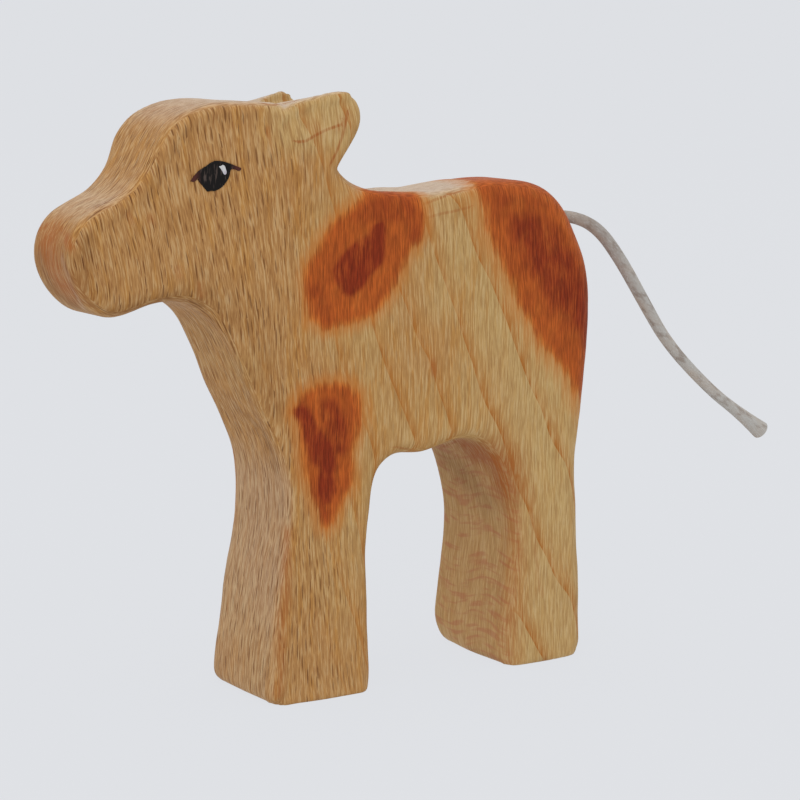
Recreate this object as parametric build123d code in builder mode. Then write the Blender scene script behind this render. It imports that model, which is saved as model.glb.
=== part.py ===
from build123d import *
from math import cos, pi, radians, sin, tan
import os

os.makedirs("parts", exist_ok=True)

# A toy calf sawn from one board and rounded by hand, with a cord tail and painted eyes.
# It stands on the XY plane and faces -X. Z is up, and Y runs through the board.
# The origin lies under the middle of the wooden body, on the plane of its soles.

# Driving sizes of the wooden body
body_length = 86.4
body_height = 87.0
board_thickness = 22.0

# Rounding of its edges
body_round = 3.4
arch_round = 2.6
ear_round = 1.9
groove_round = 0.8
sole_round = 1.4

# Room that the roundings need, measured on the side view. Where the view has less, because it
# is small or squeezed, its bends at chin, nose and ear tips are sharper, and the edges are
# rounded less.
rounding_room = 85.0

# Groove between the ears, a round gouge that falls towards the neck
groove_radius = 7.8
groove_fall = 25.0

# Drilled hole in the rump, with the cone that the drill leaves
hole_diameter = 2.6
hole_depth = 8.0
drill_point = 118.0

# Cord tail and its glue
tail_diameter = 2.0
flare_diameter = 3.0
flare_length = 3.5
glue_gap = 0.05
glue_setback = 0.8

# Painted eye, its lash strokes and its white glint
pupil_width = 4.7
pupil_height = 4.0
glint_length = 1.6
glint_width = 0.8
glint_tilt = 12.0
paint_gap = 0.04
paint_film = 0.14
glint_film = 0.06

# Length by which every cut overruns what it cuts
overrun = 2.0

half_board = board_thickness / 2

# Side outline without the ears, from the front toe over breast, head, nape and rump to the
# heel. Each pair is a share of the body's length, from its middle, and of its height.
breast_shares = [
    (-0.164, 0.0),
    (-0.156, 0.090),
    (-0.138, 0.210),
    (-0.121, 0.330),
    (-0.131, 0.410),
    (-0.175, 0.507),
    (-0.220, 0.607),
    (-0.255, 0.653),
]
head_shares = [
    (-0.334, 0.676),
    (-0.426, 0.658),
    (-0.480, 0.700),
    (-0.500, 0.764),
    (-0.477, 0.811),
    (-0.406, 0.850),
    (-0.364, 0.894),
    (-0.320, 0.960),
    (-0.264, 0.986),
    (-0.190, 0.990),
]
nape_shares = [
    (-0.110, 0.981),
    (-0.048, 0.943),
    (-0.016, 0.880),
    (0.026, 0.847),
    (0.105, 0.829),
    (0.220, 0.834),
]
rump_shares = [
    (0.345, 0.844),
    (0.418, 0.820),
    (0.464, 0.762),
    (0.494, 0.684),
    (0.497, 0.587),
    (0.485, 0.462),
    (0.471, 0.346),
    (0.476, 0.236),
    (0.482, 0.110),
    (0.482, 0.0),
]

# Arch between the legs, from the hind toe up the thigh and along the belly to the front heel
thigh_shares = [
    (0.309, 0.0),
    (0.309, 0.070),
    (0.320, 0.150),
    (0.328, 0.225),
    (0.316, 0.309),
    (0.290, 0.372),
]
belly_shares = [
    (0.240, 0.408),
    (0.143, 0.394),
    (0.088, 0.393),
    (0.064, 0.375),
    (0.047, 0.327),
    (0.038, 0.235),
    (0.038, 0.110),
    (0.038, 0.0),
]

# Ear, from inside the crown over the tip and down its back edge, and its root in the head
ear_shares = [
    (-0.155, 0.945),
    (-0.110, 0.982),
    (-0.058, 0.994),
    (-0.020, 1.0),
    (0.008, 0.991),
    (0.018, 0.967),
    (0.006, 0.925),
    (-0.014, 0.895),
    (-0.032, 0.860),
]
ear_root_share = (-0.155, 0.860)

# Where the groove's floor starts on the crown
groove_start_share = (-0.110, 0.980)

# Half thickness of the body, as shares of half the board: a row for each station along the
# length, from nose to rump, and in it a share for each height, from the soles to the ears
station_shares = [-0.50, -0.34, -0.18, -0.02, 0.20, 0.50]
level_shares = [0.0, 0.36, 0.66, 1.0]
swell_shares = [
    (0.62, 0.62, 0.62, 0.62),
    (0.74, 0.71, 0.70, 0.69),
    (0.89, 0.78, 0.78, 0.81),
    (0.93, 0.84, 0.87, 0.95),
    (0.93, 0.92, 0.95, 0.93),
    (0.96, 0.95, 0.97, 0.91),
]

# Tail hole's mouth on the rump, and the eye's centre on the cheek
mouth_share = (0.455, 0.770)
eye_share = (-0.255, 0.876)

# Eye outline, as shares of the pupil's width and height from its centre. The upper line runs
# from the front lash over the lid to the rear lash, and the lower line runs back.
lid_shares = [(-0.74, -0.17), (-0.45, 0.31), (0.0, 0.50), (0.42, 0.41), (0.82, 0.20)]
pupil_shares = [
    (0.82, 0.20),
    (0.49, 0.19),
    (0.42, -0.17),
    (0.16, -0.45),
    (-0.10, -0.51),
    (-0.36, -0.37),
    (-0.49, -0.03),
    (-0.74, -0.17),
]
glint_share = (0.26, 0.20)

# Share of the shorter of two runs that a bend of the tail takes up
bend_share = 0.45

# Route of the tail from its root in the hole to its tip, behind and above the hole's mouth
tail_route = [
    (-6.8, -0.2),
    (0.0, 0.0),
    (6.4, -0.1),
    (11.6, -2.3),
    (16.2, -7.5),
    (21.4, -15.1),
    (26.4, -21.8),
    (35.5, -29.9),
    (46.4, -37.6),
]


def spot(share):
    """Point of the side view that a pair of shares of the body stands for."""
    return (body_length * share[0], body_height * share[1])


def outline(shares):
    """Points of the side view that a table of shares stands for."""
    return [spot(share) for share in shares]


def eye_points(shares):
    """Points round the eye's centre, from shares of the pupil's width and height."""
    eye_x, eye_z = spot(eye_share)
    return [(eye_x + pupil_width * x, eye_z + pupil_height * z) for x, z in shares]


def swollen_board(skin):
    """The board with its sides carved to their swell, and a skin of paint on them."""
    stations = [body_length * share for share in station_shares]
    stations[0] -= overrun
    stations[-1] += overrun
    levels = [body_height * share for share in level_shares]
    levels[0] -= overrun
    levels[-1] += overrun
    with BuildPart() as board:
        for station, half_shares in zip(stations, swell_shares):
            right = [(half_board * share + skin, z) for share, z in zip(half_shares, levels)]
            left = [(-y, z) for y, z in right]
            with BuildSketch(Plane.YZ.offset(station)):
                with BuildLine():
                    Spline(*left)
                    Line(left[-1], right[-1])
                    Spline(*right[::-1])
                    Line(right[0], left[0])
                make_face()
        loft()
    return board.part


def rounding(radius):
    """Radius of a rounding, made smaller where the side view's bends are too sharp for it."""
    shorter, longer = sorted((body_length, body_height))
    return radius * min(1, shorter**3 / longer**2 / rounding_room)


def flank_rims(part):
    """Edges round the two carved sides of a part, the longest last."""
    flanks = part.faces().sort_by(lambda face: abs(face.normal_at().Y))[-2:]
    return flanks.edges().sort_by(Edge.length)


bare_board = swollen_board(0)
primed_board = swollen_board(paint_gap)
painted_board = swollen_board(paint_gap + paint_film)
glint_board = swollen_board(paint_gap + paint_film + glint_film)

# Ears, sawn and rounded as one block across the head, and parted by a falling gouge cut
fall = radians(groove_fall)
crown_x, crown_z = spot(groove_start_share)
gouge = Plane((crown_x, 0, crown_z), x_dir=(0, 1, 0), z_dir=(cos(fall), 0, -sin(fall)))

with BuildPart() as ears:
    with BuildSketch(Plane.XZ.offset(-board_thickness)):
        with BuildLine():
            ear_line = Spline(*outline(ear_shares))
            Polyline(ear_line @ 1, spot(ear_root_share), ear_line @ 0)
        make_face()
    extrude(amount=2 * board_thickness)
    add(bare_board, mode=Mode.INTERSECT)
    fillet(flank_rims(ears)[-2:], rounding(ear_round))
    with BuildSketch(gouge.offset(-groove_radius)):
        with Locations((0, groove_radius)):
            Circle(groove_radius)
    extrude(amount=board_thickness + groove_radius, mode=Mode.SUBTRACT)
    groove = ears.faces().filter_by(GeomType.CYLINDER)
    fillet(groove.edges(), groove_round)

# Tail hole: its axis is the first run of the tail, and its mouth lies on the rump
mouth_x, mouth_z = spot(mouth_share)
mouth = Vector(mouth_x, 0, mouth_z)
route = [mouth + Vector(behind, 0, above) for behind, above in tail_route]
root = route[0]
drill = Plane(mouth, x_dir=mouth - root, z_dir=(0, -1, 0))
root_length = (mouth - root).length
cone_length = hole_diameter / 2 / tan(radians(drill_point / 2))

# Body: the outline sawn through the board, rounded along back, arch and soles, with the ears
# on it and the tail hole drilled into the rump
with BuildPart() as carved_body:
    with BuildSketch(Plane.XZ.offset(-board_thickness)):
        with BuildLine():
            back_line = Spline(*outline(breast_shares + head_shares + nape_shares + rump_shares))
            belly_line = Spline(*outline(thigh_shares + belly_shares))
            Line(back_line @ 1, belly_line @ 0)
            Line(belly_line @ 1, back_line @ 0)
        make_face()
    extrude(amount=2 * board_thickness)
    add(bare_board, mode=Mode.INTERSECT)
    fillet(flank_rims(carved_body)[-2:], rounding(body_round))
    arch_rims = flank_rims(carved_body).filter_by(lambda edge: edge.center().Z > sole_round)
    fillet(arch_rims[:2], rounding(arch_round))
    soles = carved_body.faces().sort_by(Axis.Z)[:2]
    fillet(soles.edges(), rounding(sole_round))
    add(ears.part)
    with BuildSketch(drill):
        with BuildLine():
            Polyline(
                (overrun, 0),
                (overrun, hole_diameter / 2),
                (-hole_depth, hole_diameter / 2),
                (-hole_depth - cone_length, 0),
                close=True,
            )
        make_face()
    revolve(axis=Axis(drill.origin, drill.x_dir), mode=Mode.SUBTRACT)

# Glue that fills the hole round the root of the tail and below its end
with BuildPart() as tail_glue:
    with BuildSketch(drill):
        with BuildLine():
            Polyline(
                (-root_length - glue_gap, 0),
                (-root_length - glue_gap, tail_diameter / 2 + glue_gap),
                (-glue_setback, tail_diameter / 2 + glue_gap),
                (-glue_setback, hole_diameter / 2 - glue_gap),
                (-hole_depth, hole_diameter / 2 - glue_gap),
                (-hole_depth - cone_length + glue_gap, 0),
                close=True,
            )
        make_face()
    revolve(axis=Axis(drill.origin, drill.x_dir))

# Tail: one cord from its root in the hole to its frayed tip, which flares a little
runs = [(end - start).length for start, end in zip(route, route[1:])]
bends = []
for before, corner, after, shorter in zip(route, route[1:], route[2:], map(min, runs, runs[1:])):
    turn = (corner - before).get_angle(after - corner)
    bends.append(bend_share * shorter / tan(radians(turn / 2)))
tip_run = (route[-1] - route[-2]).normalized()
flare_start = route[-1] - tip_run * flare_length
print("tail bends, mm:", [round(bend, 1) for bend in bends])

with BuildPart() as tail_cord:
    with BuildLine():
        cord_line = FilletPolyline(*route[:-1], flare_start, radius=bends)
    with BuildSketch(Plane(root, z_dir=mouth - root)):
        Circle(tail_diameter / 2)
    sweep()
    with BuildSketch(Plane(flare_start, z_dir=tip_run)):
        Circle(tail_diameter / 2)
    with BuildSketch(Plane(route[-1], z_dir=tip_run)):
        Circle(flare_diameter / 2)
    loft()

tail_radius = tail_diameter / 2
flare_radius = flare_diameter / 2
flare_area = pi * (tail_radius**2 + tail_radius * flare_radius + flare_radius**2) / 3
tail_volume = cord_line.length * pi * tail_radius**2 + flare_length * flare_area
print("tail length, mm:", round(cord_line.length + flare_length, 2))
print("tail volume by section and length, mm3:", round(tail_volume, 2))
print("tail volume of the solid, mm3:", round(tail_cord.part.volume, 2))

# Painted eye on the left cheek: one film for the lid line, pupil and lash strokes
cheek = Plane.XZ.offset(half_board / 2)

with BuildPart() as left_eye_paint:
    with BuildSketch(cheek):
        with BuildLine():
            Spline(*eye_points(lid_shares))
            Spline(*eye_points(pupil_shares))
        make_face()
    extrude(amount=half_board)
    add(painted_board, mode=Mode.INTERSECT)
    add(primed_board, mode=Mode.SUBTRACT)

# White glint over the eye's rear half
with BuildPart() as left_eye_glint:
    with BuildSketch(cheek):
        with Locations(*eye_points([glint_share])):
            Ellipse(glint_width / 2, glint_length / 2, rotation=glint_tilt)
    extrude(amount=half_board)
    add(glint_board, mode=Mode.INTERSECT)
    add(painted_board, mode=Mode.SUBTRACT)

# The right eye is the left one's mirror image
with BuildPart() as right_eye_paint:
    mirror(left_eye_paint.part, about=Plane.XZ)

with BuildPart() as right_eye_glint:
    mirror(left_eye_glint.part, about=Plane.XZ)

pieces = {
    "carved_body": carved_body,
    "tail_cord": tail_cord,
    "tail_glue": tail_glue,
    "left_eye_paint": left_eye_paint,
    "left_eye_glint": left_eye_glint,
    "right_eye_paint": right_eye_paint,
    "right_eye_glint": right_eye_glint,
}
for name, piece in pieces.items():
    piece.part.label = name
    export_step(piece.part, f"parts/{name}.step")
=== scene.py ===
import bpy
import numpy as np
from mathutils import Matrix, Vector
from mathutils.bvhtree import BVHTree


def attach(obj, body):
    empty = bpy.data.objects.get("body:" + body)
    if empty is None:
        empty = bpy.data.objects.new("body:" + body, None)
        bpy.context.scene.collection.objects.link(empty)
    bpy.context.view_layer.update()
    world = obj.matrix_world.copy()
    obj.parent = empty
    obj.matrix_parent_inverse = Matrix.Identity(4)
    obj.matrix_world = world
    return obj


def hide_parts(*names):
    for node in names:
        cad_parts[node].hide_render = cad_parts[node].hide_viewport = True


bl_info = {
    "name": "Carved calf with a cord tail",
    "version": (1, 0, 0),
    "blender": (4, 5, 0),
    "location": "3D View > Sidebar > Carved calf",
    "description": "Dresses the packed calf figurine in wood, stain, paint and cord",
    "category": "Object",
}

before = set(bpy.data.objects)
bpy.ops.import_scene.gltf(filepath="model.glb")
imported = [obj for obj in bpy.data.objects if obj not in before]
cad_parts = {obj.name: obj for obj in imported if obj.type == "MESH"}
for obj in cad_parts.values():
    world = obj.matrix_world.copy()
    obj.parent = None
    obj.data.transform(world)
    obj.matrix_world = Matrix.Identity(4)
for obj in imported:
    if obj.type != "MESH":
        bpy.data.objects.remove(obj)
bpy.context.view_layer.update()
MM = 0.001

# Points of a mesh that lie nearer than this are merged, in metres
MERGE_DISTANCE = 0.00001

# Camera that took the photograph: its place in mm, its axes, and its focal length in pixels
CAMERA_PLACE = (-198.03, -319.86, 102.5)
CAMERA_RIGHT = (0.8332, -0.553, 0.0)
CAMERA_UP = (0.0878, 0.1323, 0.9873)
CAMERA_BACK = (-0.546, -0.8226, 0.1588)
PHOTO_WIDTH = 800
FOCAL_PIXELS = 2600
SENSOR_MM = 36

# Route of the tail in the plane Y = 0, from its root in the hole to its tip, in mm. Its points
# keep to the part's within 0.3 mm. The second one is the mouth of the hole, and the last but
# one, which the part doesn't have, is where the frayed tip starts to widen.
TAIL_ROUTE = [
    (32.51, 66.79), (39.31, 66.99), (45.71, 66.89), (51.11, 64.84), (55.74, 59.62),
    (60.9, 52.02), (65.71, 45.19), (74.7, 36.98), (81.6, 32.3), (85.71, 29.39),
]

# Middle of each foot and half its length along X, half the feet's width, and the X of the arch
# between the legs, in mm
FRONT_FOOT = (-5.3, 8.7)
HIND_FOOT = (34.2, 7.5)
HALF_WIDTH = 10.4
ARCH_X = 15

# Place of the growth rings' pith on the floor, in mm
PITH = (71.25, 43.75)

# Y of the left side's surface at its stains and at the eye, in mm
SHOULDER_DEPTH = -10.2
LEG_DEPTH = -9.4
RUMP_DEPTH = -10.4
EYE_DEPTH = -8.4

# The flanks' stain stays at least this far from the middle of the board, in mm
STAIN_REACH = 7.6

# Stain patches of the left side, as pixels of the photograph
SHOULDER_STAIN = [
    (367, 190), (358, 200), (348, 208), (341, 214), (332, 225), (325, 235), (320, 247),
    (310, 264), (306, 280), (308, 296), (311, 306), (313, 321), (327, 332), (344, 327),
    (359, 324), (371, 319), (382, 310), (390, 299), (396, 285), (402, 270), (409, 258),
    (414, 247), (421, 239), (425, 227), (425, 212), (423, 199), (421, 190), (409, 184),
    (390, 182), (375, 184),
]
LEG_STAIN = [
    (303, 392), (297, 405), (294, 412), (299, 424), (302, 440), (303, 458), (305, 475),
    (308, 486), (313, 503), (318, 517), (322, 529), (328, 531), (335, 524), (340, 510),
    (346, 496), (353, 484), (355, 469), (355, 452), (358, 440), (362, 424), (363, 408),
    (360, 394), (349, 384), (337, 381), (325, 382), (313, 386),
]
RUMP_STAIN = [
    (474, 150), (476, 189), (485, 211), (486, 230), (496, 253), (502, 268), (513, 288),
    (516, 303), (526, 318), (541, 345), (561, 368), (572, 384), (579, 400), (600, 440),
    (700, 440), (700, 150),
]

# Stain patches of the right side: X and Z of the middle, half length, half height, lean, in mm
RIGHT_STAINS = ((2, 57, 8.5, 11, 0.35), (-6, 30, 4.5, 8, 0.1))

# Darker places in the stain: strength, softness in mm, the depth of the surface that carries
# them, and their outline in pixels of the photograph
DARK_STAINS = [
    (1.0, 0.5, SHOULDER_DEPTH, [
        (374, 224), (383, 221), (386, 232), (385, 248), (383, 262), (377, 271), (370, 277),
        (364, 288), (353, 297), (345, 293), (338, 283), (335, 271), (341, 260), (348, 250),
        (357, 242), (366, 236), (371, 230),
    ]),
    (0.4, 0.8, SHOULDER_DEPTH, [
        (352, 214), (364, 205), (382, 197), (394, 193), (410, 199), (417, 209), (415, 221),
        (406, 223), (394, 221), (384, 221), (374, 223), (358, 224), (352, 220),
    ]),
    (0.35, 0.6, SHOULDER_DEPTH, [
        (412, 206), (420, 214), (420, 230), (415, 246), (408, 246), (411, 228),
    ]),
    (0.4, 1.2, -10.0, [(312, 290), (322, 284), (334, 304), (330, 322), (318, 318)]),
    (0.9, 0.6, LEG_DEPTH, [
        (295, 411), (303, 405), (311, 410), (316, 420), (323, 430), (331, 439), (336, 452),
        (337, 470), (333, 478), (324, 473), (313, 463), (308, 448), (305, 432), (299, 423),
    ]),
    (1.0, 0.6, LEG_DEPTH, [(320, 470), (334, 470), (336, 490), (331, 503), (324, 506), (319, 494)]),
    (0.75, 0.8, LEG_DEPTH, [
        (322, 402), (335, 399), (341, 410), (347, 425), (350, 440), (346, 455), (338, 454),
        (330, 440), (324, 425), (320, 414),
    ]),
    (1.3, 0.6, LEG_DEPTH, [(322, 438), (331, 443), (335, 462), (332, 478), (324, 474), (321, 455)]),
    (0.5, 0.8, LEG_DEPTH, [(309, 484), (321, 496), (329, 512), (325, 523), (315, 509)]),
    (0.85, 2.2, RUMP_DEPTH, [
        (512, 216), (540, 214), (560, 230), (574, 256), (590, 290), (600, 330), (598, 352),
        (580, 342), (562, 320), (546, 298), (528, 268), (514, 240),
    ]),
    (0.4, 1.5, RUMP_DEPTH, [
        (496, 195), (520, 188), (546, 196), (550, 208), (520, 210), (500, 212),
    ]),
]

# Pixels along the hind end of the arch under the belly, where strokes paint shade
ARCH_EDGE = ((470, 449), (488, 455), (499, 468), (503, 486))

# Places where the wood has another colour, and places of painted shade: runs of pixels of the
# photograph, each with its half width in mm and its strength
STROKES = {
    "rust": [
        (((346, 116), (340, 128)), 0.9, 0.35),
        (((315, 124), (320, 134)), 0.9, 0.25),
        (((41, 228), (48, 225), (57, 226), (64, 232), (70, 245)), 0.8, 0.6),
        (((66, 238), (69, 246)), 0.9, 0.9),
        (((40, 228), (41, 234)), 0.8, 0.6),
        (((48, 240), (52, 262), (64, 285)), 3.2, 0.9),
        # Painted shade: a reddish darkening of the arch's hind end, where shade falls
        (ARCH_EDGE, 3.2, 0.85),
        (((268, 129), (270, 151)), 0.4, 0.45),
        (((287, 532), (286, 604), (283, 620), (281, 671), (279, 695)), 0.85, 0.5),
        ((
            (503, 474), (509, 502), (517, 526), (519, 550), (516, 573), (514, 605), (509, 637),
        ), 0.7, 0.5),
        (((500, 455), (508, 500), (515, 560), (512, 620), (510, 662)), 2.2, 0.4),
        (((532, 486), (532, 522), (536, 551), (538, 581), (542, 594)), 0.5, 0.3),
        (((432, 362), (434, 373)), 0.6, 0.6),
        (((200, 284), (201, 296)), 0.45, 0.4),
        (((150, 215), (152, 222)), 0.45, 0.4),
        (((178, 268), (180, 276)), 0.45, 0.4),
        (((128, 213), (132, 222)), 0.45, 0.4),
    ],
    # Painted shade: darker colour where shade falls, in the arch under the belly, under the jaw and
    # down the throat and chest. These strokes also darken a line above the hind sole and the snout
    "shade": [
        (ARCH_EDGE, 3.0, 0.35),
        (((445, 458), (465, 475), (486, 500)), 3.0, 0.35),
        (((440, 632), (470, 650), (500, 661), (545, 660)), 0.7, 0.3),
        (((110, 312), (150, 304), (175, 296), (200, 305)), 1.2, 0.4),
        (((235, 405), (262, 430), (275, 470)), 0.8, 0.3),
        (((42, 262), (52, 284), (70, 303)), 2.4, 0.45),
        (((60, 250), (75, 262), (84, 290)), 3.0, 0.22),
        (((86, 240), (88, 262), (87, 288)), 1.2, 0.35),
        (((200, 285), (235, 310), (262, 350), (275, 400)), 2.5, 0.2),
    ],
    "pale": [
        (((62, 258), (68, 274), (75, 293), (84, 309)), 0.55, 0.35),
    ],
    "straw": [
        (((440, 196), (450, 240), (440, 300)), 3.5, 0.4),
        (((445, 475), (450, 560), (440, 620)), 1.0, 0.25),
    ],
    "dash": [
        (((83, 240), (84, 262), (82, 280)), 1.2, 0.4),
        (((93, 240), (93, 262), (90, 296)), 1.2, 0.4),
        (((100, 205), (130, 195), (152, 160)), 2.0, 0.4),
    ],
}

# Thin lines on the wood, and a painted shade line under the belly: their pixels in the photograph
# and their strength
THIN_LINES = [
    (((297, 142), (306, 141), (316, 135), (326, 130), (337, 126), (343, 124)), 0.9),
    (((348, 112), (345, 124), (342, 137), (337, 151), (331, 163)), 0.9),
    (((265, 104), (274, 105), (286, 103), (296, 101)), 0.8),
    (((418, 206), (432, 201), (448, 195), (461, 191)), 0.6),
    (((426, 218), (440, 214), (455, 211), (470, 207)), 0.5),
    # Painted shade: a dark line along the lower edge of the belly
    (((395, 447), (412, 450), (425, 452), (440, 448), (458, 441)), 0.5),
]


def seen_on(pixels, depth):
    """Points of the plane Y = depth, in mm, behind pixels of the photograph.

    A pixel's ray leaves the camera along right * u + up * v - back * focal length, and is
    followed until its Y equals the depth.
    """
    rays = camera_rays(pixels)
    steps = (depth - CAMERA_PLACE[1]) / rays[:, 1]
    points = np.array(CAMERA_PLACE) + rays * steps[:, None]
    return points[:, (0, 2)]


def camera_rays(pixels):
    """Directions in which the camera sees pixels of the photograph."""
    pixels = np.asarray(pixels, float)
    across = (pixels[:, 0] - PHOTO_WIDTH / 2)[:, None] * np.array(CAMERA_RIGHT)
    above = (PHOTO_WIDTH / 2 - pixels[:, 1])[:, None] * np.array(CAMERA_UP)
    return across + above - FOCAL_PIXELS * np.array(CAMERA_BACK)


def seen_at(points):
    """Pixels of the photograph at which points in mm are seen, the reverse of camera_rays."""
    away = points - np.array(CAMERA_PLACE)
    deep = -(away @ np.array(CAMERA_BACK))
    across = PHOTO_WIDTH / 2 + FOCAL_PIXELS * (away @ np.array(CAMERA_RIGHT)) / deep
    down = PHOTO_WIDTH / 2 - FOCAL_PIXELS * (away @ np.array(CAMERA_UP)) / deep
    return np.stack([across, down], axis=1)


def eased(values, low, high):
    """0 below low, 1 above high, and 3t^2 - 2t^3 between them."""
    share = np.clip((values - low) / (high - low), 0, 1)
    return share * share * (3 - 2 * share)


def distance_from_run(points, run):
    """Least distance of points from a run of segments, by the nearest point of each."""
    nearest = np.full(len(points), np.inf)
    for start, end in zip(run, run[1:]):
        side = end - start
        along = np.clip((points - start) @ side / max(side @ side, 1e-12), 0, 1)
        gap = points - start - along[:, None] * side
        nearest = np.minimum(nearest, np.sqrt((gap**2).sum(1)))
    return nearest


def distance_inside(points, corners):
    """Signed distance of points of the side view from a closed outline, above 0 inside.

    Its sign comes from how many sides of the outline a ray along +X crosses.
    """
    ends = np.roll(corners, -1, axis=0)
    sides = ends - corners
    height = points[:, None, 1]
    crosses = (height > corners[:, 1]) != (height > ends[:, 1])
    rise = np.where(np.abs(sides[:, 1]) < 1e-9, 1e-9, sides[:, 1])
    reach = corners[:, 0] + (height - corners[:, 1]) * sides[:, 0] / rise
    inside = (crosses & (points[:, None, 0] < reach)).sum(1) % 2 == 1
    distance = distance_from_run(points, np.vstack([corners, corners[:1]]))
    return np.where(inside, distance, -distance)


def smooth_line(corners, count):
    """Points evenly spread on a smooth line through the corners.

    Between two corners the line is the cubic whose slope at each corner is half the step
    between that corner's neighbours, and it is then divided evenly by its length.
    """
    corners = np.asarray(corners, float)
    padded = np.vstack([2 * corners[0] - corners[1], corners, 2 * corners[-1] - corners[-2]])
    before, start, end, after = padded[:-3], padded[1:-2], padded[2:-1], padded[3:]
    t = np.linspace(0, 1, 12, endpoint=False)[None, :, None]
    leave, arrive = (end - before)[:, None] / 2, (after - start)[:, None] / 2
    start, end = start[:, None], end[:, None]
    cubic = (2 * t**3 - 3 * t**2 + 1) * start + (t**3 - 2 * t**2 + t) * leave
    cubic = cubic + (3 * t**2 - 2 * t**3) * end + (t**3 - t**2) * arrive
    line = np.vstack([cubic.reshape(-1, corners.shape[1]), corners[-1:]])
    length = np.r_[0, np.cumsum(np.linalg.norm(np.diff(line, axis=0), axis=1))]
    even = np.linspace(0, length[-1], count)
    return np.stack([np.interp(even, length, line[:, i]) for i in range(line.shape[1])], axis=1)


def colour_setting(name, description, default):
    """A colour that the sidebar shows."""
    return bpy.props.FloatVectorProperty(
        name=name, description=description, subtype="COLOR", default=default, min=0.0, max=1.0
    )


def number_setting(name, description, default, low, high, unit="NONE"):
    """A number that the sidebar shows."""
    return bpy.props.FloatProperty(
        name=name, description=description, unit=unit, default=default, min=low, max=high
    )


def length_setting(*words_and_limits):
    """A length in metres that the sidebar shows in the scene's unit."""
    return number_setting(*words_and_limits, unit="LENGTH")


class CalfWoodSettings(bpy.types.PropertyGroup):
    """Sizes and colours of the carved wooden body."""

    pale_wood: colour_setting(
        "Pale wood", "Colour of the early wood on the flanks", (0.52, 0.325, 0.12)
    )
    tan_wood: colour_setting(
        "Tan wood", "Colour of the browner clouds in the wood", (0.48, 0.252, 0.088)
    )
    end_wood: colour_setting(
        "End grain",
        "Colour of the faces that look up, which cut across the grain",
        (0.61, 0.49, 0.38),
    )
    ray_colour: colour_setting(
        "Rays", "Colour of the short dark dashes of the beech", (0.15, 0.055, 0.015)
    )
    late_colour: colour_setting(
        "Late wood", "Colour of the thin outer line of each growth ring", (0.39, 0.14, 0.024)
    )
    stain_colour: colour_setting("Stain", "Colour of the stain patches", (0.43, 0.094, 0.014))
    stain_dark: colour_setting(
        "Stain, dark",
        "Colour of the places where the stain was brushed twice",
        (0.225, 0.027, 0.006),
    )
    stain_rim: colour_setting("Stain, rim", "Colour of the stain's thin edge", (0.52, 0.175, 0.032))
    ring_width: number_setting(
        "Ring width", "Width of a growth ring at the left flank, in millimetres", 4.9, 1.0, 9.0
    )
    edge_sharpening: length_setting(
        "Edge sharpening",
        "How far the knife left the left side's edges outside their rounding",
        0.0009,
        0.0,
        0.0015,
    )
    unevenness: length_setting(
        "Unevenness", "Height of the slow waves that hand carving leaves", 0.00007, 0.0, 0.0004
    )
    mesh_step: length_setting(
        "Mesh step", "Distance between the points of the body's mesh", 0.00042, 0.0003, 0.002
    )


class CalfEyeSettings(bpy.types.PropertyGroup):
    """Thickness and colours of the painted eyes."""

    paint_colour: colour_setting("Eye paint", "Colour of the eyes", (0.0075, 0.0062, 0.0055))
    lash_colour: colour_setting(
        "Lash tips", "Colour of the thin ends of the lash strokes", (0.085, 0.024, 0.018)
    )
    glint_colour: colour_setting("Glint", "Colour of the white stroke", (0.6, 0.6, 0.58))
    film: length_setting("Paint film", "Thickness of the dried paint", 0.0001, 0.00003, 0.0003)


class CalfTailSettings(bpy.types.PropertyGroup):
    """Sizes and colours of the cord tail."""

    diameter: length_setting("Cord diameter", "Thickness of the cord", 0.002, 0.001, 0.003)
    flare: length_setting("Tip diameter", "Thickness of the frayed tip", 0.003, 0.001, 0.005)
    cord_colour: colour_setting("Cord", "Colour of the cord", (0.46, 0.435, 0.395))
    fleck_colour: colour_setting(
        "Cord flecks", "Colour of the brown flecks of the yarn", (0.25, 0.19, 0.15)
    )


class CalfStageSettings(bpy.types.PropertyGroup):
    """Colour of the floor and strength of the light."""

    floor_colour: colour_setting(
        "Floor", "Colour of the floor and of the studio round it", (0.73, 0.745, 0.776)
    )
    key_power: number_setting(
        "Key light",
        "Power of the large soft light above the calf's left side, in watts",
        1.6,
        0.0,
        20.0,
    )
    top_power: number_setting(
        "Top light", "Power of the soft light overhead, in watts", 1.6, 0.0, 20.0
    )


def add_object(name, data):
    """Adds an object at the origin that shows the given data."""
    piece = bpy.data.objects.new(name, data)
    bpy.context.scene.collection.objects.link(piece)
    return piece


def mesh_object(name, vertices, faces):
    """Makes an object at the origin from arrays of points and faces."""
    mesh = bpy.data.meshes.new(name)
    mesh.from_pydata(np.asarray(vertices).tolist(), [], np.asarray(faces).tolist())
    mesh.update()
    return add_object(name, mesh)


def grid_faces(rows, columns):
    """Corner numbers of the faces of a grid of points, row by row."""
    corner = (np.arange(rows - 1)[:, None] * columns + np.arange(columns - 1)).ravel()
    return np.stack([corner, corner + 1, corner + columns + 1, corner + columns], axis=1)


def settle_modifiers(piece):
    """Puts the result of a piece's modifiers in its mesh and takes them off."""
    evaluated = piece.evaluated_get(bpy.context.evaluated_depsgraph_get())
    mesh = bpy.data.meshes.new_from_object(evaluated)
    piece.modifiers.clear()
    piece.data = mesh
    return mesh


def mesh_array(mesh, collection, key):
    """Three numbers for each element of a mesh's collection, as an array."""
    elements = getattr(mesh, collection)
    values = np.empty(len(elements) * 3, np.float32)
    elements.foreach_get(key, values)
    return values.reshape(-1, 3).astype(float)


def set_attribute(mesh, name, values):
    """Gives a mesh one number for each of its points."""
    attribute = mesh.attributes.new(name, "FLOAT", "POINT")
    attribute.data.foreach_set("value", np.asarray(values, np.float32))


def new_material(name):
    """Makes a material and returns it with its node tree."""
    material = bpy.data.materials.new(name)
    material.use_nodes = True
    return material, material.node_tree


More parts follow.
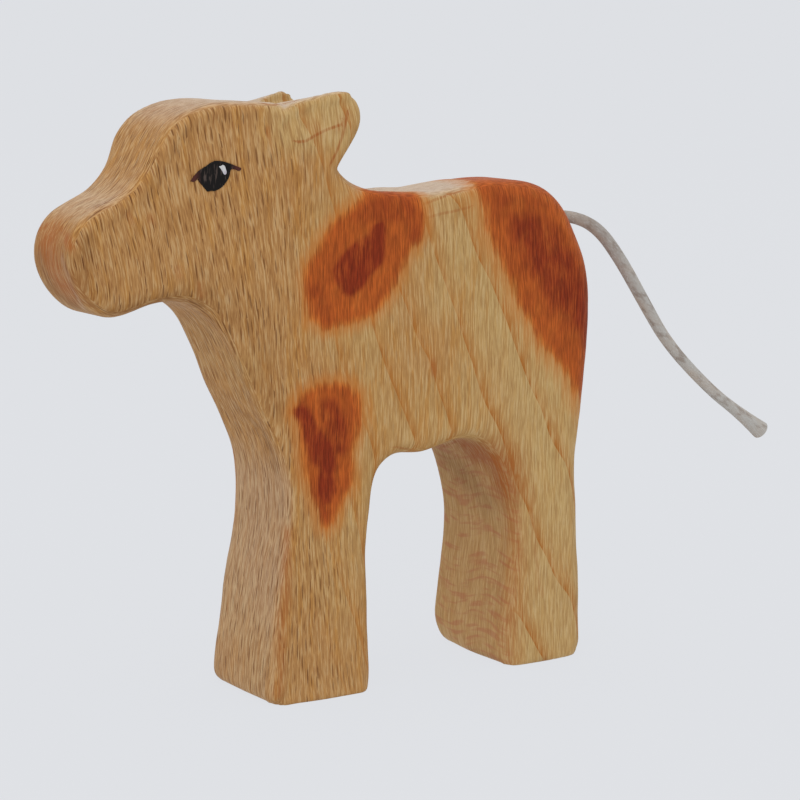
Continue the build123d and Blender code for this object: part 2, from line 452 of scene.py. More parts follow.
def node(tree, kind, *links, **values):
    """Adds a shader node, sets its values by name, and links or sets its inputs in order."""
    made = tree.nodes.new("ShaderNode" + kind)
    for key, value in values.items():
        setattr(made, key, value)
    for index, source in enumerate(links):
        if isinstance(source, bpy.types.NodeSocket):
            tree.links.new(source, made.inputs[index])
        elif source is not None:
            made.inputs[index].default_value = source
    return made


def maths(tree, operation, *links, clamp=False):
    """Adds a Math node and returns its result."""
    return node(tree, "Math", *links, operation=operation, use_clamp=clamp).outputs[0]


def times(tree, first, second, clamp=False):
    """Multiplies two values."""
    return maths(tree, "MULTIPLY", first, second, clamp=clamp)


def swayed(tree, share, amount, base):
    """Moves the base by an amount times a share's distance from a half."""
    return maths(tree, "MULTIPLY_ADD", maths(tree, "SUBTRACT", share, 0.5), amount, base)


def ramped(tree, value, low, high, start=0.0, end=1.0):
    """Maps low to high onto start to end, smoothly, and holds the ends."""
    made = node(tree, "MapRange", value, low, high, start, end)
    made.interpolation_type = "SMOOTHSTEP"
    return made.outputs[0]


def mixed(tree, share, first, second, blend="MIX"):
    """Adds a colour Mix node and returns its result."""
    colours = [c if isinstance(c, bpy.types.NodeSocket) else (*c, 1.0) for c in (first, second)]
    unused = [None] * 5
    made = node(tree, "Mix", share, *unused, *colours, data_type="RGBA", blend_type=blend)
    return made.outputs[2]


def stretched(tree, axes, steps):
    """A place whose three coordinates are each divided by a step."""
    parts = [maths(tree, "DIVIDE", axis, step) for axis, step in zip(axes, steps)]
    return node(tree, "CombineXYZ", *parts).outputs[0]


def noise(tree, axes, steps, detail=2.0, roughness=0.5, output="Fac"):
    """Noise from 0 to 1 whose grains are one step across along each axis."""
    made = node(tree, "TexNoise", stretched(tree, axes, steps))
    made.inputs["Scale"].default_value = 1.0
    made.inputs["Detail"].default_value = detail
    made.inputs["Roughness"].default_value = roughness
    return made.outputs[output]


def spindles(tree, axes, steps, slimness, fullness):
    """Scattered spindles, 1 in their middle, one in each cell of a lattice of the steps.

    Each cell has one random point. The spindle's value is its random size less the distance
    from that point, whose three parts are multiplied by the slimness.
    """
    place = stretched(tree, axes, steps)
    cells = node(tree, "TexVoronoi", place, feature="F1")
    cells.inputs["Scale"].default_value = 1.0
    gap = node(tree, "VectorMath", place, cells.outputs["Position"], operation="SUBTRACT")
    slim = node(tree, "VectorMath", gap.outputs[0], slimness, operation="MULTIPLY")
    reach = node(tree, "VectorMath", slim.outputs[0], operation="LENGTH")
    chance = node(tree, "SeparateColor", cells.outputs["Color"]).outputs[0]
    size = maths(tree, "MULTIPLY_ADD", chance, fullness, 1.0 - fullness)
    value = maths(tree, "SUBTRACT", size, reach.outputs["Value"])
    return times(tree, value, 2.5, clamp=True)


def object_axes(tree):
    """The object's own X, Y and Z, in metres."""
    place = node(tree, "TexCoord").outputs["Object"]
    return node(tree, "SeparateXYZ", place).outputs


def finished(material, colour, grain, rough, height, strength, depth, gloss=0.5):
    """Gives a material its colour and relief of the depth in metres.

    Its roughness goes from the first to the second value of rough as the grain rises.
    """
    tree = material.node_tree
    roughness = ramped(tree, grain, 0.3, 0.7, *rough)
    shader = tree.nodes["Principled BSDF"]
    bump = node(tree, "Bump")
    bump.inputs["Strength"].default_value = strength
    bump.inputs["Distance"].default_value = depth
    tree.links.new(height, bump.inputs["Height"])
    shader.inputs["Specular IOR Level"].default_value = gloss
    for source, target in (
        (colour, "Base Color"), (roughness, "Roughness"), (bump.outputs[0], "Normal")
    ):
        tree.links.new(source, shader.inputs[target])
    return material


def wood_material(settings):
    """Beech, with its growth rings round a pith behind the right flank.

    Its fibres and the thin dark dashes of its rays stand upright and lean a little on the
    head. The rays lie flat in the inner face of the hind leg and show there as pink flecks.
    """
    material, tree = new_material("oiled_beech")
    place = node(tree, "TexCoord").outputs["Object"]
    millimetres = node(tree, "VectorMath", place, operation="SCALE")
    millimetres.inputs["Scale"].default_value = 1 / MM
    x, y, z = node(tree, "SeparateXYZ", millimetres.outputs[0]).outputs
    names = (
        "stain", "dark_stain", "rust", "shade", "pale", "straw", "dash", "fleck",
        "line_side", "line_near", "sidedness",
    )
    marks = {}
    for name in names:
        marks[name] = node(tree, "Attribute", attribute_name=name).outputs["Fac"]

    # The grain wanders slowly
    slow = noise(tree, (x, y, z), (11.0, 11.0, 24.0), detail=1.5, output="Color")
    sway = node(tree, "SeparateColor", slow).outputs
    x_bent = swayed(tree, sway[0], 3.2, x)
    y_bent = swayed(tree, sway[1], 2.0, y)

    # The pith leans
    east = maths(tree, "MULTIPLY_ADD", z, 0.25, maths(tree, "SUBTRACT", x_bent, PITH[0]))
    north = maths(tree, "MULTIPLY_ADD", z, 0.15, maths(tree, "SUBTRACT", y_bent, PITH[1]))
    squares = maths(tree, "MULTIPLY_ADD", east, east, times(tree, north, north))
    radius = maths(tree, "SQRT", squares)
    lean = ramped(tree, x, 3.0, -40.0, 0.03, 0.2)
    across = swayed(tree, sway[2], 2.2, x)
    above = maths(tree, "MAXIMUM", maths(tree, "SUBTRACT", z, 45.0), 0.0)
    across = maths(tree, "MULTIPLY_ADD", lean, above, across)
    deep_in = swayed(tree, sway[1], 1.2, y)

    # A fibre is thin along the first axis, which lies in the surface on every side
    facing_front = maths(tree, "LESS_THAN", marks["sidedness"], 0.5)
    swap = times(tree, facing_front, maths(tree, "SUBTRACT", deep_in, across))
    axes = (maths(tree, "ADD", across, swap), maths(tree, "SUBTRACT", deep_in, swap), z)
    sagging = maths(tree, "SINE", times(tree, y, 0.35))
    sagging = maths(tree, "MULTIPLY_ADD", sagging, 0.9, z)
    ring = maths(tree, "FRACT", maths(tree, "MULTIPLY_ADD", radius, 1 / settings.ring_width, 0.47))
    late = maths(tree, "POWER", ring, 7.0)
    band = maths(tree, "POWER", ring, 2.5)

    fibre = noise(tree, axes, (0.2, 1.2, 3.2), roughness=0.6)
    fine = noise(tree, axes, (0.12, 1.0, 1.8), detail=1.0)
    streak = noise(tree, axes, (1.0, 2.5, 9.0), detail=1.0)
    cloud = noise(tree, (x, y, z), (15.0, 14.0, 22.0), detail=1.0)
    mottle = noise(tree, (x, y, z), (2.2, 2.2, 3.6), detail=3.0)
    dash = spindles(tree, axes, (0.8, 4.0, 3.2), (5.6, 0.8, 2.0), 0.65)
    small_dash = spindles(tree, axes, (0.5, 3.0, 2.0), (4.8, 0.8, 2.1), 0.7)
    patches = noise(tree, (x, y, sagging), (3.0, 5.0, 0.85))

    # How much of each mark the bare wood shows
    clouded = ramped(tree, cloud, 0.35, 0.65, 0.0, 0.7)
    browner = maths(tree, "MULTIPLY_ADD", marks["dash"], 0.75, clouded)
    ringed = maths(tree, "SUBTRACT", 1.05, marks["dash"], clamp=True)
    for name in ("pale", "fleck"):
        free = maths(tree, "SUBTRACT", 1.0, marks[name], clamp=True)
        ringed = times(tree, ringed, free)
    band = times(tree, times(tree, band, ringed), 0.65)
    deep = maths(tree, "MULTIPLY_ADD", marks["dash"], 0.25, 0.34)
    dark_fibre = times(tree, ramped(tree, fibre, 0.44, 0.64), deep)
    line = times(tree, late, ramped(tree, fibre, 0.38, 0.56, 0.45, 1.1))
    line = times(tree, line, ramped(tree, streak, 0.35, 0.52, 0.5, 1.1))
    small = times(tree, small_dash, times(tree, marks["dash"], 0.55))
    dark = times(tree, dash, times(tree, marks["dash"], 0.75), clamp=True)
    fleck = times(tree, marks["fleck"], ramped(tree, patches, 0.47, 0.66, 0.12, 0.62))
    # Painted shade: darker in the arch, under the jaw and down the throat and chest; also a darker
    # snout
    shade = times(tree, marks["shade"], ramped(tree, fibre, 0.3, 0.7, 0.7, 1.1), clamp=True)
    # Reddish marks of the wood, and painted shade at the arch's hind end
    rust = times(tree, marks["rust"], ramped(tree, fibre, 0.35, 0.65, 0.5, 1.2), clamp=True)
    beside = maths(tree, "ABSOLUTE", marks["line_side"])
    thin = times(tree, ramped(tree, beside, 0.32, 0.08), marks["line_near"], clamp=True)
    thin = times(tree, thin, ramped(tree, fibre, 0.38, 0.6, 0.45, 1.0))

    # The marks and their colours, from the ground colour up
    wood = mixed(tree, browner, settings.pale_wood, settings.tan_wood)
    for share, tint in (
        (band, (0.54, 0.25, 0.055)),
        (ramped(tree, streak, 0.5, 0.66, 0.0, 0.6), (0.5, 0.23, 0.048)),
        (times(tree, marks["straw"], 0.9), (0.565, 0.405, 0.17)),
        (times(tree, marks["pale"], 0.95), settings.end_wood),
        (dark_fibre, (0.29, 0.13, 0.038)),
        (ramped(tree, fibre, 0.5, 0.34, 0.0, 0.35), (0.66, 0.49, 0.26)),
        (ramped(tree, fine, 0.5, 0.7, 0.0, 0.32), (0.27, 0.12, 0.036)),
        (times(tree, line, ringed), settings.late_colour),
        (small, (0.25, 0.09, 0.024)),
        (dark, settings.ray_colour),
        (fleck, (0.43, 0.155, 0.072)),
        # Painted shade and the darker snout, then the reddish marks with painted shade at the arch
        (shade, (0.17, 0.07, 0.02)),
        (rust, (0.37, 0.115, 0.026)),
        (thin, (0.34, 0.11, 0.026)),
    ):
        wood = mixed(tree, share, wood, tint)

    # Stain runs further along some fibres than along others
    ragged = swayed(tree, fibre, 1.3, marks["stain"])
    ragged = swayed(tree, streak, 1.6, ragged)
    fringe = ramped(tree, ragged, -2.2, 0.2, 0.0, 0.62)
    soaked = ramped(tree, ragged, -0.35, 0.4)
    depth = ramped(tree, ragged, -0.2, 1.3)
    uneven = swayed(tree, fibre, 1.2, 1.0)
    uneven = swayed(tree, mottle, 1.4, uneven)
    heavy = times(tree, marks["dark_stain"], uneven, clamp=True)
    dye = mixed(tree, depth, settings.stain_rim, settings.stain_colour)
    dye = mixed(tree, ramped(tree, mottle, 0.4, 0.66, 0.0, 0.45), dye, (0.33, 0.06, 0.01))
    dye = mixed(tree, ramped(tree, mottle, 0.42, 0.28, 0.0, 0.4), dye, (0.52, 0.14, 0.024))
    dye = mixed(tree, heavy, dye, settings.stain_dark)
    furrow = maths(tree, "MULTIPLY_ADD", fine, 0.7, times(tree, fibre, 1.0))
    grey = ramped(tree, furrow, 0.6, 1.06, 1.26, 0.74)
    grey = maths(tree, "SUBTRACT", grey, times(tree, dash, 0.18))
    grain = node(tree, "CombineXYZ", grey, grey, grey).outputs[0]
    dye = mixed(tree, 1.0, dye, grain, "MULTIPLY")
    colour = mixed(tree, fringe, wood, settings.stain_rim)
    colour = mixed(tree, soaked, colour, dye)

    height = maths(tree, "SUBTRACT", times(tree, streak, 0.5), times(tree, dash, 0.5))
    height = maths(tree, "MULTIPLY_ADD", fibre, -0.8, height)
    return finished(material, colour, fibre, (0.48, 0.66), height, 0.35, 0.00012, gloss=0.12)


def carved(points, normals, settings):
    """Where the carver's knife left each point of the body, in mm.

    With n the normal, s = 4 n_y^2 (1 - n_y^2) is 1 half way round an edge between a flank and
    the wall, and 0 on both. Points of the left side's edges on head, chest, shin and back, and
    of the right side's on forehead and ear, move out by s times the edge's sharpening. The left
    side's sole edges do so by the same formula in n_z. Three products of sine waves make the
    surface uneven. At the feet's worn corners points move towards the foot's middle by the
    square of their share of its last few millimetres.
    """
    x, y, z = points.T
    forward, side, up = normals.T

    # Edges of what faces up and forward, but not of the rump and of the arch's hind end
    ridge = eased(0.6 * up - 0.8 * forward, 0.05, 0.45)
    ridge = ridge * (1 - eased(x, 24, 34)) * (1 - eased(x, 10, 16) * (1 - eased(z, 50, 56)))
    left = settings.edge_sharpening / MM * ridge * (side < 0) * (1 - 0.7 * eased(x, 3, 9))
    right = 0.55 * eased(z, 77, 81) * (1 - eased(x, -16, -12)) * (side > 0)
    out = 4 * side**2 * (1 - side**2) * (left + right)

    # The soles' left edges, in the middle of each foot
    hind = x > ARCH_X
    foot_middle = np.where(hind, HIND_FOOT[0], FRONT_FOOT[0])
    along = (x - foot_middle) / np.where(hind, HIND_FOOT[1], FRONT_FOOT[1])
    down = np.clip(-up, 0, 1) * (1 - eased(z, 2, 4)) * eased(-side, 0.0, 0.25)
    middle = 1 - eased(np.abs(along), 0.75, 1.0)
    out = out + np.where(hind, 0.4, 0.7) * middle * 4 * down**2 * (1 - down**2)

    waves = np.sin(0.31 * x + 0.17 * z + 1.0) * np.sin(0.13 * x - 0.27 * z + 0.4)
    waves = waves + 0.6 * np.sin(0.55 * z - 0.21 * x) * np.sin(0.43 * x + 0.2 * y + 2.0)
    waves = waves + 0.3 * np.sin(1.1 * x + 0.4 * z) * np.sin(0.9 * z - 0.3 * y)
    out = out + settings.unevenness / MM * waves * eased(z, 1.0, 5.0)
    moved = points + normals * out[:, None]

    # The corners worn most are each foot's front right and rear left ones
    across = y / HALF_WIDTH
    front_right = eased(across - along, 0.7, 1.9)
    rear_left = eased(along - across, 0.9, 1.9)
    worn = front_right * np.where(hind, 1.3, 0.5) + rear_left * np.where(hind, 0.6, 0.1)
    low = np.clip(1 - z / np.where(hind, 2.6 + 2.8 * front_right, 2.6), 0, 1) ** 2
    moved[:, 0] -= worn * low * along
    moved[:, 1] -= worn * low * across

    # The left ear is bevelled above a line that rises to its tip, and the right ear is lower
    above_line = np.clip(z - 80.5 - 0.24 * (x + 9.9), 0, 6)
    ear = eased(x, -14, -9) * eased(-y, 3.5, 6.5)
    moved[:, 1] += 0.17 * above_line * ear * eased(-side, 0.0, 0.8)
    moved[:, 2] -= 0.7 * eased(y, 1.0, 3.5) * eased(z, 82.5, 86.5) * eased(x, -16, -12)

    # The back slopes from its left edge down to its right one
    top = eased(z, 66, 70)
    moved[:, 2] += 0.7 * top * eased(-y, -3, 11) * eased(x, 3, 9) * (1 - eased(x, 22, 30))
    moved[:, 2] -= 0.7 * top * eased(y, 0, 7) * eased(x, 14, 20) * (1 - eased(x, 30, 37))
    moved[:, 2] = np.maximum(moved[:, 2], 0)
    return moved


class CALF_OT_body(bpy.types.Operator):
    """Carve the calf's body and dress it in beech and stain"""

    bl_idname = "calf.body"
    bl_label = "Carved body"

    def execute(self, context):
        settings = context.scene.calf_wood
        piece = add_object("calf_body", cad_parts["carved_body"].data.copy())
        piece.modifiers.new("weld", "WELD").merge_threshold = MERGE_DISTANCE
        grid = piece.modifiers.new("grid", "REMESH")
        grid.mode = "VOXEL"
        grid.voxel_size = settings.mesh_step
        smooth = piece.modifiers.new("smooth", "SMOOTH")
        smooth.factor = 0.5
        smooth.iterations = 3
        mesh = settle_modifiers(piece)
        points = mesh_array(mesh, "vertices", "co") / MM
        normals = mesh_array(mesh, "vertex_normals", "vector")
        points = carved(points, normals, settings)
        mesh.vertices.foreach_set("co", (points * MM).astype(np.float32).ravel())
        mesh.update()
        normals = mesh_array(mesh, "vertex_normals", "vector")
        self.mark(piece, points, normals)
        mesh.shade_smooth()
        mesh.materials.clear()
        mesh.materials.append(wood_material(settings))
        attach(piece, "root")
        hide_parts("carved_body")
        return {"FINISHED"}

    def mark(self, piece, points, normals):
        """Works out where stain, the wood's own colours and painted shade lie, and writes them as
        attributes.
        """
        x, y, z = points.T
        forward, _, up = normals.T
        mesh = piece.data
        side = points[:, (0, 2)]
        left = -STAIN_REACH - y
        shoulder = np.minimum(distance_inside(side, seen_on(SHOULDER_STAIN, SHOULDER_DEPTH)), left)
        leg = np.minimum(distance_inside(side, seen_on(LEG_STAIN, LEG_DEPTH)), left)

        # The rump's stain starts further back towards the right side, and fades slowly
        leaning = side - np.stack([0.32 * (y - RUMP_DEPTH), np.zeros(len(y))], axis=1)
        rump = distance_inside(leaning, seen_on(RUMP_STAIN, RUMP_DEPTH))
        rump = np.where(rump < 0, 0.6 * rump, rump)
        stain = np.maximum(np.maximum(shoulder, leg), rump)

        # The right side has its own patches, one on the ribs and one on the front leg
        dark = np.zeros(len(points))
        for middle_x, middle_z, half_x, half_z, lean in RIGHT_STAINS:
            across = (x - middle_x - lean * (z - middle_z)) / half_x
            above = (z - middle_z) / half_z
            wavy = 0.12 * np.sin(3 * np.arctan2(above, across) + middle_x)
            patch = (1 + wavy - np.sqrt(across**2 + above**2)) * half_x
            stain = np.maximum(stain, np.minimum(patch, y - STAIN_REACH))
            dark = np.maximum(dark, 0.9 * eased(patch - 0.5 * half_x, -0.5, 0.5) * (y > 0))
        for strength, softness, depth, outline in DARK_STAINS:
            inside = distance_inside(side, seen_on(outline, depth))
            dark = np.maximum(dark, strength * eased(inside, -softness, softness) * (y < 3))

        polygons = [list(face.vertices) for face in mesh.polygons]
        tree = BVHTree.FromPolygons(points.tolist(), polygons)

        def on_body(pixels):
            rays = camera_rays(pixels)
            hits = [tree.ray_cast(Vector(CAMERA_PLACE), Vector(ray))[0] for ray in rays]
            return np.array([hit for hit in hits if hit is not None], float)

        brushed = {}
        for name, strokes in STROKES.items():
            amount = np.zeros(len(points))
            for pixels, half_width, strength in strokes:
                distance = distance_from_run(points, on_body(pixels))
                amount = np.maximum(amount, strength * np.exp(-((distance / half_width) ** 2)))
            brushed[name] = amount

        # Thin lines: the distance from the nearest one, with its side, and how near its ends are
        seen = seen_at(points)
        line_side = np.full(len(points), 9.0)
        line_near = np.zeros(len(points))
        for pixels, strength in THIN_LINES:
            distance = distance_from_run(points, on_body(pixels))
            line = smooth_line(pixels, 40)
            gap = seen[:, None] - line[None, :-1]
            nearest = (gap**2).sum(2).argmin(1)
            step = np.diff(line, axis=0)[nearest]
            gap = gap[np.arange(len(points)), nearest]
            turn = np.sign(step[:, 0] * gap[:, 1] - step[:, 1] * gap[:, 0])
            closer = distance < np.abs(line_side)
            line_side = np.where(closer, distance * turn, line_side)
            line_near = np.where(closer, strength * (1 - eased(distance, 0.4, 1.0)), line_near)

        # Faces that look up cut across the grain and are paler. So is the wood of shin and ears
        low = 1 - eased(z, 44, 58)
        end_grain = np.clip((up - 0.45) / 0.55, 0, 1) ** 2 * (1 - 0.35 * eased(-x, 16, 22))
        shin = 0.32 * eased(-forward, 0.5, 0.85) * (1 - eased(z, 30, 40))
        shin = shin * (0.5 + 0.5 * eased(z, 4, 20)) * (x < 5)
        ears = 0.6 * eased(z, 77, 81) * eased(x, -17, -11)
        back = eased(x, 14, 30)
        head = eased(-x, 2, 14) * eased(z, 40, 55)
        front = eased(-x, -4, 8) * low
        dashes = 0.25 - 0.15 * back + 0.75 * np.maximum(head, front)
        dashes = dashes * (1 - 0.6 * end_grain) * (1 - 0.6 * ears) + brushed["dash"]
        for name, values in (
            ("stain", stain),
            ("dark_stain", dark),
            # Painted shade: the shade marks, and the arch stroke among the reddish marks
            ("rust", brushed["rust"]),
            ("shade", brushed["shade"]),
            ("line_side", line_side),
            ("line_near", line_near),
            ("pale", np.maximum.reduce([end_grain, shin, brushed["pale"]])),
            ("straw", np.maximum.reduce([ears, 0.6 * back, brushed["straw"]])),
            ("dash", dashes),
            ("fleck", eased(-forward, 0.35, 0.8) * (x > ARCH_X) * (1 - eased(z, 42, 50))),
            ("sidedness", normals[:, 1] ** 2),
        ):
            set_attribute(mesh, name, values)


class CALF_OT_eyes(bpy.types.Operator):
    """Paint the eyes, with their lash strokes and glints"""

    bl_idname = "calf.eyes"
    bl_label = "Painted eyes"

    # Pixels of the photograph along the upper and the lower line of each paint stroke
    upper_lid = (
        (191.8, 181.6), (193.4, 178.8), (196.6, 174.5), (199.4, 171.4), (202, 169.3),
        (206.8, 166.0), (211, 162.9), (215.4, 161.0), (221, 161.0), (227.6, 162.8),
        (234, 165.3), (239.7, 167.7), (240.2, 169.0),
    )
    lower_lid = (
        (191.8, 181.6), (194.6, 181.9), (197.2, 180.8), (199.4, 178.0), (199.9, 181.4),
        (203.2, 185.6), (206, 189.2), (208.2, 191.7), (211.2, 191.0), (215.4, 190.9),
        (221.2, 187.7), (225.5, 182.7), (228.4, 177.6), (229.5, 173.3), (230.4, 169.5),
        (234, 169.4), (238.3, 170.8), (240.2, 169.0),
    )
    glint_left = (
        (222.4, 164.8), (220.6, 165.9), (218.8, 166.6), (220.2, 168.4), (221.9, 171.2),
        (223.3, 173.8), (224.6, 174.8),
    )
    glint_right = (
        (222.4, 164.8), (224.1, 165.8), (225.1, 168.4), (226.0, 171.4), (225.8, 173.6),
        (224.6, 174.8),
    )

    # X where the lash strokes thin out and Y from which a film drops on the body, in mm, and
    # how far the eye's film stands off the wood, in metres
    front_lash = (-24.9, -23.6)
    back_lash = (-19.6, -18.2)
    start = 16.0
    lift = 0.00002

    def film(self, name, upper, lower, columns, rows, lift, thickness, side):
        """A film of paint between an upper and a lower line, laid on the cheek.

        With u along the lines and v across, each point is lower(u) + v (upper(u) - lower(u))
        in the side view, dropped on the body along Y. Side is -1 on the left, 1 on the right.
        """
        top = seen_on(smooth_line(upper, columns), EYE_DEPTH)
        bottom = seen_on(smooth_line(lower, columns), EYE_DEPTH)
        v = np.linspace(0, 1, rows)[:, None, None]
        sheet = (bottom[None] * (1 - v) + top[None] * v).reshape(-1, 2)
        outside = np.full(len(sheet), self.start * side)
        points = np.stack([sheet[:, 0], outside, sheet[:, 1]], axis=1)
        faces = grid_faces(rows, columns)
        if side > 0:
            faces = faces[:, ::-1]
        piece = mesh_object(name, points * MM, faces)
        drop = piece.modifiers.new("drop", "SHRINKWRAP")
        drop.target = bpy.data.objects["calf_body"]
        drop.wrap_method = "PROJECT"
        drop.use_project_y = True
        drop.use_negative_direction = side > 0
        drop.use_positive_direction = side < 0
        drop.offset = lift
        piece.modifiers.new("weld", "WELD").merge_threshold = MERGE_DISTANCE
        solid = piece.modifiers.new("solid", "SOLIDIFY")
        solid.thickness = thickness
        solid.offset = 1.0
        settle_modifiers(piece).shade_smooth()
        return piece

    def execute(self, context):
        settings = context.scene.calf_eyes
        black = self.black_material(settings)
        white = self.white_material(settings)
        film = settings.film
        for word, side in (("left", -1), ("right", 1)):
            sizes = (72, 16, self.lift, film)
            eye = self.film(f"{word}_eye", self.upper_lid, self.lower_lid, *sizes, side)
            x = mesh_array(eye.data, "vertices", "co")[:, 0] / MM
            tips = np.maximum(1 - eased(x, *self.front_lash), eased(x, *self.back_lash))
            set_attribute(eye.data, "tip", tips)
            eye.data.materials.append(black)
            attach(eye, "root")
            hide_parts(f"{word}_eye_paint")
            sizes = (28, 10, film * 0.9, film * 0.7)
            glint = self.film(f"{word}_glint", self.glint_right, self.glint_left, *sizes, side)
            glint.data.materials.append(white)
            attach(glint, "root")
            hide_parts(f"{word}_eye_glint")
        return {"FINISHED"}

    def black_material(self, settings):
        """Black paint, rubbed a little along the grain and reddish where it is thin."""
        material, tree = new_material("black_eye_paint")
        strokes = noise(tree, object_axes(tree), (0.0003, 0.002, 0.0016))
        rubbed = ramped(tree, strokes, 0.54, 0.72, 0.0, 0.9)
        tone = mixed(tree, rubbed, settings.paint_colour, (0.085, 0.06, 0.05))
        tip = node(tree, "Attribute", attribute_name="tip").outputs["Fac"]
        tone = mixed(tree, times(tree, tip, 0.9), tone, settings.lash_colour)
        return finished(material, tone, strokes, (0.35, 0.55), strokes, 0.3, 0.00005, gloss=0.12)

    def white_material(self, settings):
        """White paint with a faint violet shade where it thins out."""
        material, tree = new_material("white_eye_paint")
        strokes = noise(tree, object_axes(tree), (0.0004, 0.002, 0.0009))
        thin = ramped(tree, strokes, 0.45, 0.7, 0.0, 0.7)
        tone = mixed(tree, thin, settings.glint_colour, (0.42, 0.36, 0.45))
        return finished(material, tone, strokes, (0.35, 0.55), strokes, 0.3, 0.00004)


class CALF_OT_tail(bpy.types.Operator):
    """Lay the cord tail and dress it and the glue at its root"""

    bl_idname = "calf.tail"
    bl_label = "Cord tail"

    # Thickness of the cord at each point of its route, as a share of its diameter
    thickness = (0.85, 0.85, 0.9, 1.0, 1.04, 1.0, 0.92, 0.88, 0.93)

    def execute(self, context):
        settings = context.scene.calf_tail
        curve = bpy.data.curves.new("tail", "CURVE")
        curve.dimensions = "3D"
        curve.bevel_depth = settings.diameter / 2
        curve.bevel_resolution = 6
        curve.resolution_u = 16
        curve.use_fill_caps = True
        spline = curve.splines.new("NURBS")
        spline.points.add(len(TAIL_ROUTE) - 1)
        widths = (*self.thickness, settings.flare / settings.diameter)
        for point, (x, z), width in zip(spline.points, TAIL_ROUTE, widths):
            point.co = (x * MM, 0.0, z * MM, 1.0)
            point.radius = width
        spline.order_u = 3
        spline.use_endpoint_u = True
        piece = add_object("tail", curve)
        curve.materials.append(self.cord_material(settings))
        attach(piece, "root")
        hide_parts("tail_cord")
        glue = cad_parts["tail_glue"]
        glue.data.materials.clear()
        glue.data.materials.append(self.glue_material())
        return {"FINISHED"}

    def cord_material(self, settings):
        """Grey cotton cord with brown flecks that slant along its twist."""
        material, tree = new_material("cotton_cord")
        place = node(tree, "TexCoord").outputs["Object"]
        turned = node(tree, "Mapping", place)
        turned.inputs["Rotation"].default_value = (0.0, -0.62, 0.0)
        axes = node(tree, "SeparateXYZ", turned.outputs[0]).outputs
        flecks = noise(tree, axes, (0.0024, 0.0011, 0.0011))
        yarn = noise(tree, axes, (0.0007, 0.00022, 0.00022))
        clouds = noise(tree, axes, (0.006, 0.003, 0.003))
        along = node(tree, "SeparateXYZ", place).outputs[0]
        clean = ramped(tree, along, 0.046, 0.062)
        tone = mixed(tree, clean, (0.34, 0.29, 0.25), settings.cord_colour)
        tone = mixed(tree, ramped(tree, clouds, 0.4, 0.65, 0.0, 0.5), tone, (0.46, 0.37, 0.29))
        tone = mixed(tree, ramped(tree, flecks, 0.47, 0.66, 0.0, 0.65), tone, settings.fleck_colour)
        tone = mixed(tree, ramped(tree, yarn, 0.5, 0.7, 0.0, 0.4), tone, (0.58, 0.58, 0.56))
        height = maths(tree, "ADD", yarn, flecks)
        return finished(material, tone, yarn, (0.7, 0.9), height, 0.5, 0.00012, gloss=0.2)

    def glue_material(self):
        """Dried wood glue, amber and slightly cloudy."""
        material, tree = new_material("dried_glue")
        clouds = noise(tree, object_axes(tree), (0.0008, 0.0008, 0.0008))
        tone = mixed(tree, ramped(tree, clouds, 0.35, 0.65), (0.42, 0.26, 0.1), (0.28, 0.15, 0.05))
        return finished(material, tone, clouds, (0.35, 0.6), clouds, 0.3, 0.0001)


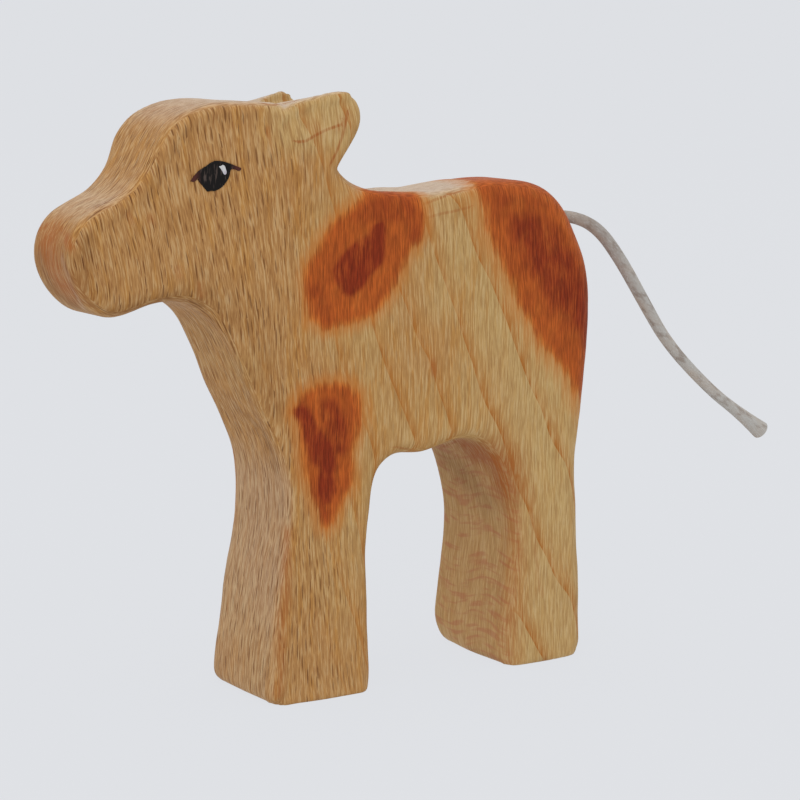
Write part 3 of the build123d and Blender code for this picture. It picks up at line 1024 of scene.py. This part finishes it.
class CALF_OT_stage(bpy.types.Operator):
    """Set the floor, the lights and the camera of the photograph"""

    bl_idname = "calf.stage"
    bl_label = "Stage, light and camera"

    # Half the floor's width and the middle of the calf, in metres
    half = 20.0
    middle = (0.0, 0.0, 0.045)

    def execute(self, context):
        settings = context.scene.calf_stage
        camera = bpy.data.cameras.new("photo_camera")
        camera.sensor_width = SENSOR_MM
        camera.lens = FOCAL_PIXELS / PHOTO_WIDTH * SENSOR_MM
        camera.clip_start = 0.01
        camera.clip_end = 50.0
        holder = add_object("photo_camera", camera)
        axes = Matrix((CAMERA_RIGHT, CAMERA_UP, CAMERA_BACK)).transposed().to_4x4()
        holder.matrix_world = Matrix.Translation(Vector(CAMERA_PLACE) * MM) @ axes
        context.scene.camera = holder
        context.scene.view_settings.view_transform = "Standard"

        corners = ((-1, -1, 0), (1, -1, 0), (1, 1, 0), (-1, 1, 0))
        floor = mesh_object("floor", self.half * np.array(corners), [(0, 1, 2, 3)])
        floor.data.materials.append(self.floor_material(settings))

        world = bpy.data.worlds.new("studio")
        world.use_nodes = True
        background = world.node_tree.nodes["Background"]
        background.inputs["Color"].default_value = (*settings.floor_colour, 1.0)
        context.scene.world = world

        # Soft lights: name, place and size in metres, and power
        lights = (
            ("key_light", (-0.45, -0.55, 0.55), 0.5, settings.key_power),
            ("top_light", (0.0, 0.05, 0.9), 0.8, settings.top_power),
        )
        for name, place, size, power in lights:
            lamp = bpy.data.lights.new(name, "AREA")
            lamp.shape = "DISK"
            lamp.size = size
            lamp.energy = power
            holder = add_object(name, lamp)
            aim = Vector(self.middle) - Vector(place)
            holder.rotation_euler = aim.to_track_quat("-Z", "Y").to_euler()
            holder.location = place
        return {"FINISHED"}

    def floor_material(self, settings):
        """Pale paper that glows, so that only the softest shade shows on it."""
        material, tree = new_material("pale_paper")
        for name, value in (
            ("Base Color", (0.04, 0.04, 0.04, 1.0)),
            ("Roughness", 1.0),
            ("Specular IOR Level", 0.0),
            ("Emission Color", (*settings.floor_colour, 1.0)),
            ("Emission Strength", 0.96),
        ):
            tree.nodes["Principled BSDF"].inputs[name].default_value = value
        return material


class CALF_PT_panel(bpy.types.Panel):
    """Lists the calf's pieces and what can be changed on them"""

    bl_idname = "CALF_PT_panel"
    bl_label = "Carved calf"
    bl_space_type = "VIEW_3D"
    bl_region_type = "UI"
    bl_category = "Carved calf"

    def draw(self, context):
        for settings, group, operator in SETTINGS:
            box = self.layout.box()
            box.operator(operator)
            for name in group.__annotations__:
                box.prop(getattr(context.scene, settings), name)


# Each group of settings: its name in the scene, its class and the operator that reads it
SETTINGS = (
    ("calf_stage", CalfStageSettings, "calf.stage"),
    ("calf_tail", CalfTailSettings, "calf.tail"),
    ("calf_wood", CalfWoodSettings, "calf.body"),
    ("calf_eyes", CalfEyeSettings, "calf.eyes"),
)
CLASSES = (CALF_OT_stage, CALF_OT_tail, CALF_OT_body, CALF_OT_eyes, CALF_PT_panel)


def register():
    """Registers the settings, the operators and the panel."""
    for name, group, _ in SETTINGS:
        bpy.utils.register_class(group)
        setattr(bpy.types.Scene, name, bpy.props.PointerProperty(type=group))
    for made in CLASSES:
        bpy.utils.register_class(made)


def unregister():
    """Removes what register added."""
    for made in reversed(CLASSES):
        bpy.utils.unregister_class(made)
    for name, group, _ in reversed(SETTINGS):
        delattr(bpy.types.Scene, name)
        bpy.utils.unregister_class(group)


def main():
    """Builds the stage and every piece."""
    register()
    bpy.ops.calf.stage()
    bpy.ops.calf.tail()
    bpy.ops.calf.body()
    bpy.ops.calf.eyes()


if __name__ == "__main__":
    main()
